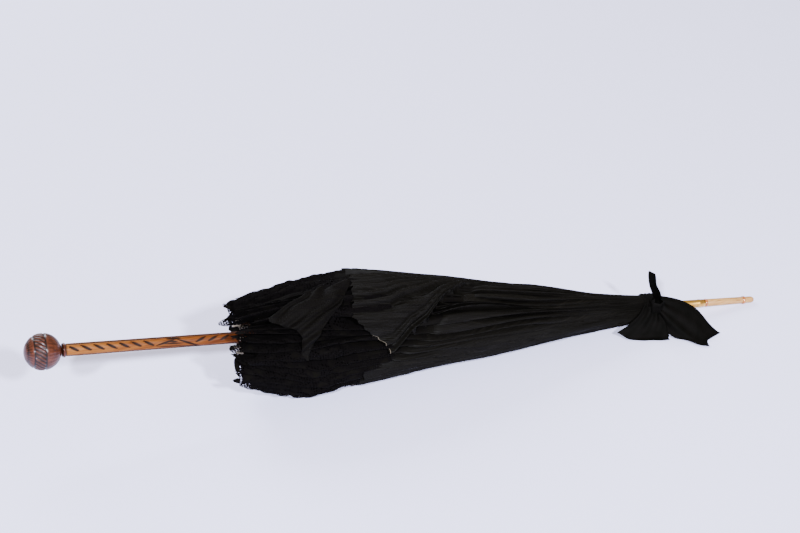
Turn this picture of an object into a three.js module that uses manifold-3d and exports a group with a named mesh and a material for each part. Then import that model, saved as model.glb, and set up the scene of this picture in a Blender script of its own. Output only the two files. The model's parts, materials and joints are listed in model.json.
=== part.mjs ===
// A closed lace parasol. The stick lies along X with the knob at -X and the ferrule at +X.
// Eight bowed ribs hinge on a slotted notch, forked stretchers join them to a runner,
// and the gathered cover is wrapped round them. The whole rests on the bundle and the ferrule tip.
// Millimetres, +Z up.
import * as THREE from 'three';
import { mergeVertices } from 'three/addons/utils/BufferGeometryUtils.js';
import Module from 'manifold-3d';

// ---- Driving dimensions ----
const overallLength = 910;
const gap = 0.3;

const knobDiameter = 41;
const collarLength = 4;
const collarRadius = 8.2;
const tenonRadius = 5;
const tenonDepth = 16;
const gripRadius = 7.1;
const gripLength = 206;
const stickRadius = 6.5;

const tipLength = 12.7;
const tipRadius = 4;
const tipFaceRadius = 2.2;
const ringLength = 2.7;
const ringRadius = 5.1;
const boneLength = 50.7;
const boneRadius = 4.6;
const socketLength = 54;
const socketTaper = 12;
const spikeRadius = 3;

const ribCount = 8;
const ribLength = 509;
const ribBow = 18;
const ribWidth = 2.2;
const ribHeight = 3.2;
const ribTipGather = 17;
const ribTipLength = 11;
const ribTipRadius = 2.3;
const stretcherJoint = 192;
const openingAngle = THREE.MathUtils.degToRad(72);

const hingeStandOff = 2.9;
const hingeSetBack = 41;
const eyeRadius = 2.1;
const eyeHole = 1;
const wireRadius = 0.55;
const rivetRadius = 0.9;
const earThickness = 1.2;
const forkLength = 27;
const stretcherWidth = 1.8;
const stretcherHeight = 2.6;
const stretcherEye = 1.7;

const slideClearance = 0.3;
const notchWall = 5.2;
const notchHead = 4;
const slotClearance = 0.4;
const runnerWall = 0.6;
const runnerLength = 42;
const crownLength = 10;
const crownRadius = 11;

const catchLength = 18;
const catchWidth = 2;
const catchProud = 2.8;
const catchDepth = 4.1;
const catchTravel = 2.3;
const catchRamp = 13.5;
const slitWidth = 3;
const stopPinRadius = 1.2;
const stopPinProud = 3;

const neckRadius = 21;
const bundleRadius = 75.5;
const widestFromHinge = 440;
const coverOverlap = 10;
const coverLength = 400;
const flounceLength = 123;
const flounceEndRadius = 72;
const floorFlat = 3;
const coverInset = 1;
const ribClearance = 3.6;

const bandLength = 17;
const bandRadius = 18.4;
const bandStandOff = 2.5;
const ribbonThickness = 2;
const ribbonWidth = 34;
const tailReach = 62;
const tailLift = 30;
const tailForward = 4;
const tailSweep = 12;
const loopReach = 30;
const loopLift = 0.5;
const loopWidth = 18;
const loopForward = 4;
const bowStandOff = 1;
const strapWidth = 9;
const strapHeight = 36.8;
const strapSide = 3;
const rosetteRadius = 12;
const rosetteThickness = 3.5;

// ---- Stations along the stick and derived values ----
const tipEnd = overallLength / 2;
const knobPole = -overallLength / 2;
const knobRadius = knobDiameter / 2;
const outerRingStart = tipEnd - tipLength - gap - ringLength;
const boneStart = outerRingStart - gap - boneLength;
const innerRingStart = boneStart - gap - ringLength;
const socketStart = innerRingStart - gap - socketLength;
const knobEnd = knobPole + knobDiameter;
const stickStart = knobEnd + collarLength + 2 * gap;
const hingeX = socketStart - hingeSetBack;
const hingeRadius = stickRadius + hingeStandOff;
const chordRise = Math.asin((ribTipGather - hingeRadius) / ribLength);
const coverStart = hingeX + coverOverlap;
const widestX = hingeX - widestFromHinge;

const ribStep = (2 * Math.PI) / ribCount;
const ribAngle = (k) => ribStep * (k + 0.5);

// A point of the rib's centre line, in the rib's own plane (x along the stick, y outwards)
function ribPoint(distance) {
  const t = distance / ribLength;
  return new THREE.Vector2(
    hingeX - distance * Math.cos(chordRise),
    hingeRadius + distance * Math.sin(chordRise) + 4 * ribBow * t * (1 - t),
  );
}
const joint = ribPoint(stretcherJoint);
const linkLength = Math.hypot(hingeX - joint.x, joint.y - hingeRadius);
const closedAngle = Math.atan2(joint.y - hingeRadius, hingeX - joint.x);
const runnerClosed = hingeX - 2 * linkLength * Math.cos(closedAngle);
const runnerOpen = hingeX - 2 * linkLength * Math.cos(closedAngle + openingAngle);

// The floor, seen in the stick's own frame: it touches the tip's shoulder and flattens the bundle
const tipShoulder = tipEnd - tipRadius;
const restAngle = Math.atan((bundleRadius - floorFlat - tipRadius) / (tipShoulder - widestX));
const floorZ = (x) => -tipRadius - (tipShoulder - x) * Math.tan(restAngle);

// ---- Booleans ----
const wasm = await Module();
wasm.setup();

function solid(geometry) {
  const bare = geometry.clone();
  bare.deleteAttribute('normal');
  bare.deleteAttribute('uv');
  const merged = mergeVertices(bare, 1e-4);
  return new wasm.Manifold(new wasm.Mesh({
    numProp: 3,
    vertProperties: new Float32Array(merged.attributes.position.array),
    triVerts: new Uint32Array(merged.index.array),
  }));
}

function geometryOf(manifold) {
  const mesh = manifold.getMesh();
  const geometry = new THREE.BufferGeometry();
  geometry.setAttribute('position', new THREE.BufferAttribute(new Float32Array(mesh.vertProperties), 3));
  geometry.setIndex(new THREE.BufferAttribute(new Uint32Array(mesh.triVerts), 1));
  return geometry;
}

// ---- Shape helpers ----
// A turned piece: the profile lists [x, radius] from -X to +X and is revolved about the X axis
function turned(profile, segments = 28) {
  const points = profile.map(([x, radius]) => new THREE.Vector2(radius, x));
  return new THREE.LatheGeometry(points, segments).rotateZ(-Math.PI / 2);
}

// A turned sleeve with a straight bore; outer lists [x, radius] from -X to +X
function sleeve(outer, bore, segments = 28) {
  const first = outer[0][0];
  const last = outer[outer.length - 1][0];
  return turned([[first, bore], ...outer, [last, bore], [first, bore]], segments);
}

function block(x0, x1, width, z0, z1) {
  return new THREE.BoxGeometry(x1 - x0, width, z1 - z0).translate((x0 + x1) / 2, 0, (z0 + z1) / 2);
}

// A flat plate cut from a side view (x, z) and centred on the XZ plane
function plate(shape, thickness, curveSegments = 8) {
  const flat = new THREE.ExtrudeGeometry(shape, { depth: thickness, bevelEnabled: false, curveSegments });
  return flat.translate(0, 0, -thickness / 2).rotateX(Math.PI / 2);
}

function pinAcross(x, z, radius, length, segments = 12) {
  return new THREE.CylinderGeometry(radius, radius, length, segments).translate(x, 0, z);
}

// Turns a piece built above the stick (outwards is +Z) to the place of rib k
function around(geometry, k) {
  return geometry.rotateX(ribAngle(k) - Math.PI / 2);
}

// A ring of wire round the stick
function wireRing(x, radius, wire) {
  return new THREE.TorusGeometry(radius, wire, 8, 48).rotateY(Math.PI / 2).translate(x, 0, 0);
}

// ---- The object ----
const parasol = new THREE.Group();

function add(name, geometry, finish) {
  const mesh = new THREE.Mesh(geometry, new THREE.MeshStandardMaterial(finish));
  mesh.name = name;
  parasol.add(mesh);
}

const stickWood = { color: 0xb8793a, roughness: 0.45, metalness: 0 };
const knobWood = { color: 0x4a1c12, roughness: 0.3, metalness: 0 };
const brass = { color: 0xc59a45, roughness: 0.35, metalness: 1 };
const bone = { color: 0xe9dfca, roughness: 0.4, metalness: 0 };
const horn = { color: 0x9a5425, roughness: 0.4, metalness: 0 };
const steel = { color: 0x8d8f92, roughness: 0.35, metalness: 1 };
const silk = { color: 0x1b1614, roughness: 0.7, metalness: 0 };
const lace = { color: 0x141011, roughness: 0.85, metalness: 0 };
const ribbon = { color: 0x18110f, roughness: 0.5, metalness: 0 };

// Catch places: the lower one sits under the closed runner, the upper one just behind the open one
const lowerCatchX = runnerClosed - crownLength / 2 - runnerLength / 2 - catchLength / 2;
const upperCatchX = runnerOpen - crownLength / 2 - runnerLength - gap - catchLength;
const stopPinX = runnerOpen + crownLength / 2 + stopPinRadius + 2 * gap;

function buildStick() {
  const spikeStart = socketStart + gap;
  const spikeEnd = outerRingStart + ringLength;
  const body = solid(turned([
    [stickStart - collarLength - gap - tenonDepth, 0],
    [stickStart - collarLength - gap - tenonDepth, tenonRadius],
    [stickStart, tenonRadius],
    [stickStart, gripRadius],
    [stickStart + gripLength, stickRadius],
    [spikeStart - gap, stickRadius],
    [spikeStart - gap, spikeRadius],
    [spikeEnd, spikeRadius],
    [spikeEnd, 0],
  ]));
  const pocketFloor = stickRadius - catchDepth - catchTravel - gap;
  const pocket = (x) => solid(block(x - gap, x + catchLength + gap, catchWidth + 2 * gap,
    pocketFloor, gripRadius + 1));
  const pinHole = solid(pinAcross(stopPinX, 0, stopPinRadius + gap, 4 * stickRadius));
  const cut = body.subtract(pocket(lowerCatchX)).subtract(pocket(upperCatchX)).subtract(pinHole);
  add('stick', geometryOf(cut), stickWood);
  add('stop_pin', pinAcross(stopPinX, 0, stopPinRadius, 2 * (stickRadius + stopPinProud)), steel);
}

// A ball with two shallow grooves and a blind bore for the stick's tenon
function buildKnob() {
  const steps = 22;
  // Groove places along the ball, from -1 at its pole to 1 at the stick
  const grooveAt = [-0.42, 0.3];
  const grooveHalfWidth = 0.06;
  const profile = [[knobPole, 0]];
  for (let i = 1; i < steps; i += 1) {
    const angle = Math.PI * (1 - i / steps);
    const along = Math.cos(angle);
    const groove = grooveAt.reduce((sum, at) => sum + Math.exp(-(((along - at) / grooveHalfWidth) ** 2)), 0);
    const radius = knobRadius * Math.sin(angle) - groove;
    if (radius > tenonRadius + gap || along < 0) {
      profile.push([knobPole + knobRadius * (1 + along), radius]);
    }
  }
  const boreFloor = stickStart - collarLength - gap - tenonDepth - gap;
  profile.push([knobEnd, tenonRadius + 2], [knobEnd, tenonRadius + gap]);
  profile.push([boreFloor, tenonRadius + gap], [boreFloor, 0]);
  add('knob', turned(profile, 32), knobWood);
  const start = knobEnd + gap;
  add('knob_collar', sleeve([
    [start, collarRadius - 0.7], [start + collarLength * 0.25, collarRadius],
    [start + collarLength * 0.75, collarRadius], [start + collarLength, collarRadius - 0.7],
  ], tenonRadius + gap), knobWood);
}

function buildFerrule() {
  const bore = spikeRadius + gap;
  add('ferrule_socket', sleeve([
    [socketStart, stickRadius], [socketStart + socketTaper, boneRadius + 0.4],
    [innerRingStart - gap, boneRadius + 0.1],
  ], bore), brass);
  for (const [name, x] of [['ferrule_ring_inner', innerRingStart], ['ferrule_ring_outer', outerRingStart]]) {
    add(name, sleeve([
      [x, ringRadius - 0.5], [x + ringLength * 0.3, ringRadius],
      [x + ringLength * 0.7, ringRadius], [x + ringLength, ringRadius - 0.5],
    ], bore), horn);
  }
  add('ferrule_tube', sleeve([[boneStart, boneRadius], [boneStart + boneLength, tipRadius + 0.2]], bore), bone);
  const tipStart = tipEnd - tipLength;
  add('ferrule_tip', turned([
    [tipStart, 0], [tipStart, tipRadius], [tipShoulder, tipRadius],
    [tipShoulder + 0.5 * tipRadius, 0.88 * tipRadius], [tipEnd - 0.4, tipFaceRadius + 0.6],
    [tipEnd, tipFaceRadius], [tipEnd, 0],
  ]), bone);
}

// The notch: a head on the stick with one tooth between each pair of ribs, and the hinge wire
function buildNotch() {
  const front = hingeX + eyeRadius + 2 * gap;
  const back = hingeX - eyeRadius - gap;
  const bore = stickRadius + gap;
  let notch = solid(sleeve([[back, bore + notchWall], [front + notchHead, bore + notchWall]], bore));
  for (let k = 0; k < ribCount; k += 1) {
    const slot = block(back - 1, front, ribWidth + 2 * slotClearance, 0, 2 * (bore + notchWall));
    notch = notch.subtract(solid(around(slot, k)));
  }
  notch = notch.subtract(solid(wireRing(hingeX, hingeRadius, wireRadius + gap)));
  add('top_notch', geometryOf(notch), brass);
  add('notch_wire', wireRing(hingeX, hingeRadius, wireRadius), steel);
}

// The runner: a slit tube and a slotted crown whose upper tooth is left out to pass the catches
function buildRunner() {
  const bore = stickRadius + slideClearance;
  const outer = bore + runnerWall;
  const crownStart = runnerClosed - crownLength / 2;
  const tubeStart = crownStart - runnerLength;
  const slit = (x0, x1, width, height) => solid(block(x0 - 1, x1 + 1, width, 0, height));
  const tube = solid(sleeve([
    [tubeStart, outer], [tubeStart + 1, outer + 0.6], [tubeStart + 3, outer + 0.6],
    [tubeStart + 4, outer], [crownStart - gap, outer],
  ], bore));
  add('runner_tube', geometryOf(tube.subtract(slit(tubeStart, crownStart, slitWidth, 2 * outer))), brass);
  let crown = solid(sleeve([
    [crownStart, crownRadius - 1], [crownStart + 1, crownRadius],
    [crownStart + crownLength, crownRadius],
  ], bore));
  crown = crown.subtract(slit(crownStart, crownStart + crownLength, slitWidth, 2 * outer));
  for (let k = 0; k < ribCount; k += 1) {
    const slot = block(crownStart - 1, crownStart + crownLength + 1, stretcherWidth + 2 * slotClearance,
      outer, 2 * crownRadius);
    crown = crown.subtract(solid(around(slot, k)));
  }
  const tooth = block(crownStart - 1, crownStart + crownLength + 1, 2 * slitWidth, outer, 2 * crownRadius);
  add('runner_crown', geometryOf(crown.subtract(solid(tooth))), brass);
}

// A sprung blade with a ramp on the side that the runner comes from
function buildCatch(name, x) {
  const top = stickRadius + catchProud;
  const foot = stickRadius - catchDepth;
  const blade = new THREE.Shape();
  blade.moveTo(x, foot);
  blade.lineTo(x + catchLength, foot);
  blade.lineTo(x + catchLength, top);
  blade.lineTo(x + catchRamp, top);
  blade.lineTo(x, stickRadius);
  blade.closePath();
  add(name, plate(blade, catchWidth), steel);
}

// Side view of a bowed bar between two distances along the rib, with a round eye at its hinge
function ribOutline() {
  const steps = 14;
  const shape = new THREE.Shape();
  shape.absarc(hingeX, hingeRadius, eyeRadius, Math.PI * 0.72, -Math.PI * 0.72, true);
  const pointAt = (i) => ribPoint(eyeRadius + ((ribLength - ribTipLength - eyeRadius) * i) / steps);
  for (let i = 1; i <= steps; i += 1) {
    shape.lineTo(pointAt(i).x, pointAt(i).y - ribHeight / 2);
  }
  for (let i = steps; i >= 1; i -= 1) {
    shape.lineTo(pointAt(i).x, pointAt(i).y + ribHeight / 2);
  }
  shape.closePath();
  const hole = new THREE.Path();
  hole.absarc(hingeX, hingeRadius, eyeHole, 0, 2 * Math.PI, false);
  shape.holes.push(hole);
  return shape;
}

function buildRib(k) {
  const bar = solid(plate(ribOutline(), ribWidth));
  const rivetLength = ribWidth + 2 * (slotClearance + earThickness + gap);
  const rivet = solid(pinAcross(joint.x, joint.y, rivetRadius, rivetLength));
  add(`rib_${k + 1}`, around(geometryOf(bar.add(rivet)), k), steel);

  const base = ribPoint(ribLength - ribTipLength + gap);
  const end = ribPoint(ribLength);
  const length = base.distanceTo(end);
  const tip = turned([
    [0, 0], [0, 0.5 * ribTipRadius], [length * 0.15, ribTipRadius * 0.62],
    [length * 0.8, ribTipRadius], [length * 0.95, ribTipRadius * 0.8], [length, 0],
  ], 14);
  // The taper runs outwards, away from the hinge
  tip.rotateY(Math.PI + Math.atan2(end.y - base.y, base.x - end.x));
  tip.translate(base.x, 0, base.y);
  add(`rib_tip_${k + 1}`, around(tip, k), bone);
}

// A bar from the runner's crown to a fork that straddles the rib on its rivet
function buildStretcher(k) {
  const eye = new THREE.Vector2(runnerClosed, hingeRadius);
  const length = eye.distanceTo(joint);
  const barEnd = length - forkLength;
  const forkWidth = ribWidth + 2 * (slotClearance + earThickness);
  const half = stretcherHeight / 2;

  const barShape = new THREE.Shape();
  barShape.absarc(0, 0, stretcherEye, Math.PI * 0.3, -Math.PI * 0.3 + 2 * Math.PI, false);
  barShape.lineTo(barEnd + 1, -half);
  barShape.lineTo(barEnd + 1, half);
  barShape.closePath();
  const bar = solid(plate(barShape, stretcherWidth));

  const forkShape = new THREE.Shape();
  forkShape.moveTo(barEnd - 3, -half);
  forkShape.lineTo(length, -half - 0.6);
  forkShape.absarc(length, 0, half + 0.6, -Math.PI / 2, Math.PI / 2, false);
  forkShape.lineTo(barEnd - 3, half);
  forkShape.closePath();
  const rivetHole = solid(pinAcross(length, 0, rivetRadius + gap, 2 * forkWidth));
  const throat = solid(block(barEnd, length + 10, ribWidth + 2 * slotClearance, -10, 10));
  const fork = solid(plate(forkShape, forkWidth)).subtract(throat).subtract(rivetHole);

  const whole = geometryOf(bar.add(fork).subtract(throat));
  whole.rotateY(-Math.atan2(joint.y - eye.y, joint.x - eye.x));
  whole.translate(eye.x, 0, eye.y);
  add(`stretcher_${k + 1}`, around(whole, k), steel);
}

// ---- Cover ----
function bundleOuter(x) {
  return neckRadius + (bundleRadius - neckRadius) * THREE.MathUtils.smoothstep(-x, -coverStart, -widestX);
}

function bundleInner(x) {
  const distance = THREE.MathUtils.clamp((hingeX - x) / Math.cos(chordRise), 0, ribLength);
  return ribPoint(distance).y + ribClearance;
}

// A closed wedge of the bundle between rib k and the next, flattened where it lies on the floor
function coverWedge(k, fromX, toX, outerAt, stations) {
  const wedge = new THREE.BoxGeometry(1, 1, 1, stations, 5, 1);
  const position = wedge.attributes.position;
  const inset = THREE.MathUtils.degToRad(coverInset);
  const point = new THREE.Vector3();
  for (let i = 0; i < position.count; i += 1) {
    point.fromBufferAttribute(position, i);
    const x = THREE.MathUtils.lerp(fromX, toX, point.x + 0.5);
    const angle = THREE.MathUtils.lerp(ribAngle(k) + inset, ribAngle(k + 1) - inset, point.y + 0.5);
    const radius = point.z > 0 ? outerAt(x) : bundleInner(x);
    const z = Math.max(radius * Math.sin(angle), floorZ(x));
    position.setXYZ(i, x, radius * Math.cos(angle), z);
  }
  return wedge;
}

function buildCover(k) {
  const coverEnd = coverStart - coverLength;
  const flounceStart = coverEnd - 2 * gap;
  const flounceEnd = flounceStart - flounceLength;
  const flounceOuter = (x) => {
    const t = THREE.MathUtils.clamp((widestX - x) / (widestX - flounceEnd), 0, 1);
    return x > widestX ? bundleOuter(x) : THREE.MathUtils.lerp(bundleRadius, flounceEndRadius, t);
  };
  add(`gore_${k + 1}`, coverWedge(k, coverStart, coverEnd, bundleOuter, 8), silk);
  add(`flounce_${k + 1}`, coverWedge(k, flounceStart, flounceEnd, flounceOuter, 4), lace);
}

// ---- Ribbon bow and rosette ----
// A soft strip: rows of the grid run from the band, and lift gives the height above the floor
function strip(from, to, width, lift) {
  const cloth = new THREE.BoxGeometry(1, 1, 1, 8, 3, 1);
  const position = cloth.attributes.position;
  const point = new THREE.Vector3();
  for (let i = 0; i < position.count; i += 1) {
    point.fromBufferAttribute(position, i);
    const t = point.x + 0.5;
    const x = THREE.MathUtils.lerp(from.x, to.x, t) + width * point.y;
    const y = THREE.MathUtils.lerp(from.y, to.y, t);
    const z = floorZ(x) + gap + lift * (1 - t) ** 2 + ribbonThickness * (point.z + 0.5);
    position.setXYZ(i, x, y, z);
  }
  return cloth;
}

function buildBow() {
  const bandStart = coverStart + gap + bowStandOff;
  const bandBore = stickRadius + bandStandOff;
  add('ribbon_band', sleeve([
    [bandStart, bandRadius - 1], [bandStart + 2, bandRadius],
    [bandStart + bandLength - 2, bandRadius - 1], [bandStart + bandLength, bandRadius - 2],
  ], bandBore), ribbon);

  const side = -(bandRadius + bowStandOff);
  const bandMiddle = bandStart + bandLength / 2;
  const tailRoot = new THREE.Vector2(bandMiddle + ribbonWidth / 2 + tailForward, side);
  const tailEnd = new THREE.Vector2(tailRoot.x + tailSweep, side - tailReach);
  add('ribbon_tail', strip(tailRoot, tailEnd, ribbonWidth, tailLift), ribbon);
  // The loop stays on the tip's side of the hinge, clear of the ribs as they swing out
  const loopMiddle = hingeX + loopForward + loopWidth / 2;
  const loopRoot = new THREE.Vector2(loopMiddle, side - 3 * bowStandOff);
  const loopEnd = new THREE.Vector2(loopMiddle, side - loopReach);
  add('ribbon_loop', strip(loopRoot, loopEnd, loopWidth, loopLift), ribbon);
  const strapFoot = bandRadius + bowStandOff;
  add('ribbon_strap', block(bandMiddle - strapWidth / 2, bandMiddle + strapWidth / 2, ribbonThickness,
    strapFoot, strapFoot + strapHeight).translate(0, -strapSide, 0), ribbon);

  const rosetteStart = hingeX + eyeRadius + 2 * gap + notchHead + gap;
  add('top_rosette', sleeve([
    [rosetteStart, rosetteRadius], [rosetteStart + rosetteThickness, rosetteRadius - 1.5],
  ], stickRadius + gap), silk);
}

buildStick();
buildKnob();
buildFerrule();
buildNotch();
buildRunner();
buildCatch('lower_catch', lowerCatchX);
buildCatch('upper_catch', upperCatchX);
for (let k = 0; k < ribCount; k += 1) {
  buildRib(k);
  buildStretcher(k);
  buildCover(k);
}
buildBow();

// Laid down: pitched until the tip and the bundle both touch the floor, base centre at the origin
parasol.rotation.y = restAngle;
parasol.updateMatrixWorld(true);
const bounds = new THREE.Box3().setFromObject(parasol, true);
const centre = bounds.getCenter(new THREE.Vector3());
parasol.position.set(-centre.x, -centre.y, -bounds.min.z);

const model = new THREE.Group();
model.add(parasol);

export default model;
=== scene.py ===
"""A closed lace parasol lying on a pale floor: carved stick and knob, bone ferrule, gathered
silk chiffon over an under-cover, a deep lace flounce and a ribbon bow. Metres, +Z up."""

import json
import math

import bpy
import numpy as np
from mathutils import Matrix, Vector


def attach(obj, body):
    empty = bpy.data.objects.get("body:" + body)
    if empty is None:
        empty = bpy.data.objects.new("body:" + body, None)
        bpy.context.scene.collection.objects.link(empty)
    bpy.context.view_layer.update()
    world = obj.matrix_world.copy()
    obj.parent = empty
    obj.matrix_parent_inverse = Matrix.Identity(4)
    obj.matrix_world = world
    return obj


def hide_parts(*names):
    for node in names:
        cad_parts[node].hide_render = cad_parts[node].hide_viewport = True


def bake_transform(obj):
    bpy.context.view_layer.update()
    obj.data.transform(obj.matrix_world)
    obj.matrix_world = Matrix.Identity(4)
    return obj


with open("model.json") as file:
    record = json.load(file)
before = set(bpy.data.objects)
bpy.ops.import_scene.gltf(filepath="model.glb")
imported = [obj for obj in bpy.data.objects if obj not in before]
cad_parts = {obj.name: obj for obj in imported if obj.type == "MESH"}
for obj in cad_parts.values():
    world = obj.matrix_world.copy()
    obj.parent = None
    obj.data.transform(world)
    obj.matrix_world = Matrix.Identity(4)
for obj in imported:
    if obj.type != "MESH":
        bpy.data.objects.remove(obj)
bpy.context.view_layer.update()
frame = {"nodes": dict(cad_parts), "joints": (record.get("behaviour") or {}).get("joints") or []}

# ---------------------------------------------------------------- camera
# A camera about two metres off, looking down by 28 degrees, with the ferrule end farther away.

look_at = Vector((-0.0204, 0.0032, 0.135))
camera_turn, camera_drop, camera_distance = math.radians(19.7), math.radians(28), 2.0
sight = Vector((
    math.sin(camera_turn) * math.cos(camera_drop),
    math.cos(camera_turn) * math.cos(camera_drop),
    -math.sin(camera_drop),
))
bpy.ops.object.camera_add(location=look_at - sight * camera_distance)
camera = bpy.context.object
camera.rotation_euler = sight.to_track_quat("-Z", "Y").to_euler()
camera.data.lens = 78.6
bpy.context.scene.camera = camera

# ---------------------------------------------------------------- stick
# A slim varnished limewood stick. Its hand part is cut with burnt strokes in two long panels,
# with plain strips between them; the rest is plain and narrows to a spike inside the ferrule.

# Every piece is set out in millimetres along the stick: x from the rib hinge towards the ferrule,
# an angle round the stick (0 is the far side, 90 is up) and a radius.

mm = 0.001
joints = {j["name"]: j for j in frame["joints"]}
rib_count = 8
along = Vector(joints["runner_slide"]["axis"])
far_side = Vector((0, 1, 0))
upward = along.cross(far_side)
hinge_places = [Vector(joints[f"rib_{k}_hinge"]["pos_m"]) for k in range(1, rib_count + 1)]
hinge = sum(hinge_places, Vector()) / rib_count
stick_matrix = Matrix.Translation(hinge) @ Matrix((along, far_side, upward)).transposed().to_4x4()
stick_matrix = stick_matrix @ Matrix.Scale(mm, 4)


def linear(hex_colour):
    """A linear RGBA colour from an sRGB hex value."""
    channels = [int(hex_colour[i:i + 2], 16) / 255 for i in (0, 2, 4)]
    return [c / 12.92 if c <= 0.04045 else ((c + 0.055) / 1.055) ** 2.4 for c in channels] + [1]


def add_node(material, kind, values=None, links=None, **settings):
    """Adds one node with its settings, socket values and incoming links."""
    made = material.node_tree.nodes.new(kind)
    for name, setting in settings.items():
        setattr(made, name, setting)
    for name, value in (values or {}).items():
        made.inputs[name].default_value = value
    for name, source in (links or {}).items():
        material.node_tree.links.new(source, made.inputs[name])
    return made


def new_material(name, **surface):
    """An empty node material with its Principled shader, whose plain values are set here."""
    material = bpy.data.materials.new(name)
    material.use_nodes = True
    shader = material.node_tree.nodes["Principled BSDF"]
    for socket, value in surface.items():
        shader.inputs[socket.replace("_", " ")].default_value = value
    return material, shader


def join(material, source, socket):
    material.node_tree.links.new(source, socket)


def ramp(material, factor, stops):
    """A colour ramp over sRGB hex stops, given as (position, colour)."""
    made = add_node(material, "ShaderNodeValToRGB", links={"Fac": factor})
    for element, (position, colour) in zip(made.color_ramp.elements, (stops[0], stops[-1])):
        element.position = position
        element.color = linear(colour)
    for position, colour in stops[1:-1]:
        made.color_ramp.elements.new(position).color = linear(colour)
    return made.outputs["Color"]


def turn(name, profile, steps=64, cuts=None):
    """Lathe work: one vertex is drawn out along the profile (x, radius) and spun about the stick."""
    bpy.ops.object.select_all(action="DESELECT")
    bpy.ops.mesh.primitive_plane_add(size=1)
    piece = bpy.context.object
    piece.name = name
    bpy.ops.object.mode_set(mode="EDIT")
    bpy.ops.mesh.select_all(action="SELECT")
    bpy.ops.mesh.merge(type="CENTER")
    bpy.ops.transform.translate(value=(profile[0][0], profile[0][1], 0))
    for i in range(1, len(profile)):
        step = (profile[i][0] - profile[i - 1][0], profile[i][1] - profile[i - 1][1], 0)
        bpy.ops.mesh.extrude_region_move(TRANSFORM_OT_translate={"value": step})
    bpy.ops.mesh.select_all(action="SELECT")
    if cuts:
        bpy.ops.mesh.subdivide(number_cuts=cuts)
    bpy.ops.mesh.spin(steps=steps, angle=2 * math.pi, center=(0, 0, 0), axis=(1, 0, 0))
    bpy.ops.mesh.select_all(action="SELECT")
    bpy.ops.mesh.remove_doubles(threshold=0.004)
    bpy.ops.mesh.normals_make_consistent(inside=False)
    bpy.ops.object.mode_set(mode="OBJECT")
    bpy.ops.object.shade_smooth_by_angle(angle=math.radians(35))
    return piece


def carve(piece, cut):
    """Cuts a turned piece: cut(x, angle, radius) gives each point's depth in mm and how dark its colour is
    made there: burnt strokes on the stick, dark rings on the collar, painted shade in the knob's cuts.
    """
    data = piece.data
    points = np.zeros(len(data.vertices) * 3)
    data.vertices.foreach_get("co", points)
    points = points.reshape(-1, 3)
    radius = np.hypot(points[:, 1], points[:, 2])
    angle = np.arctan2(points[:, 2], points[:, 1]) % (2 * math.pi)
    depth, burn_and_painted_shade = cut(points[:, 0], angle, radius)
    scale = np.where(radius > 1, (radius - depth) / np.maximum(radius, 1e-6), 1)
    points[:, 1:] *= scale[:, None]
    data.vertices.foreach_set("co", points.ravel())
    mark = data.attributes.new("burn_and_painted_shade", "FLOAT", "POINT")
    mark.data.foreach_set("value", burn_and_painted_shade.astype(np.float32))


def fit_to_stick(piece, body, slot, *nodes):
    """Sets a piece made about the X axis on the stick, and hides the CAD nodes it stands for."""
    piece.data.transform(stick_matrix)
    piece.data.update()
    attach(piece, body)
    if nodes:
        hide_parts(*nodes)
    return piece


def coat(piece, material):
    piece.data.materials.clear()
    piece.data.materials.append(material)


def ridge(value, half_width):
    """1 on a line, falling smoothly to 0 at half_width either side."""
    return np.exp(-((value / half_width) ** 2))


# The stick's own sizes
stick_front, grip_length = -700, 206
stick_radius, grip_radius = 6.5, 7.1
socket_start = 41
spike_radius, spike_length = 3, 108
panel_middles = (math.radians(156), math.radians(336))
panel_half = 63
burn_depth = 0.42
panel_width = grip_radius * math.radians(panel_half)
# Burnt lines as (start, level, end, level, half width): mm from the collar, and the level across
# a panel from its upper border, -1, to its lower border, 1
burnt_lines = [(8.5 + 13.8 * n - 5.6, -0.6, 8.5 + 13.8 * n + 5.6, 0.24, 1.6) for n in range(7)]
burnt_lines += [(150 + 13.7 * n - 5.4, 0.14, 150 + 13.7 * n + 5.4, -0.62, 1.6) for n in range(4)]
burnt_lines += [
    (100, 0.25, 120, -0.45, 1.2), (124, -0.45, 148, 0.85, 1.2), (111, -0.68, 128, -0.66, 1.3),
    (100, 0.42, 148, 0.88, 0.6), (110, 0.1, 129, 0.16, 0.8), (116, -0.16, 123, -0.14, 1.0),
]


def stick_cut(x, angle, radius):
    """The burnt lines of both panels, their long borders and the rings at the grip's ends."""
    from_collar = x - stick_front
    burn_and_painted_shade = np.zeros_like(x)
    for middle in panel_middles:
        level = np.degrees((angle - middle + math.pi) % (2 * math.pi) - math.pi) / panel_half
        border = 0.95 * ridge(np.abs(level) - 1, 0.13)
        across = level * panel_width
        burn_and_painted_shade = np.maximum(burn_and_painted_shade, border)
        for start, start_level, end, end_level, half_width in burnt_lines:
            way = np.array([end - start, (end_level - start_level) * panel_width])
            offset = np.stack([from_collar - start, across - start_level * panel_width])
            t = np.clip((way @ offset) / (way @ way), 0, 1)
            distance = np.hypot(*(offset - way[:, None] * t))
            burn_and_painted_shade = np.maximum(burn_and_painted_shade, ridge(distance, half_width * (1 - 0.65 * (2 * t - 1) ** 2)))
    worked = np.clip((from_collar - 1.5) / 1.5, 0, 1) * np.clip((grip_length - 4 - from_collar) / 2, 0, 1)
    ends = ridge(from_collar - 1.0, 0.7) + ridge(from_collar - grip_length + 2.5, 0.9)
    burn_and_painted_shade = np.clip(np.maximum(burn_and_painted_shade * worked, ends), 0, 1)
    return burn_depth * burn_and_painted_shade, burn_and_painted_shade


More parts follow.
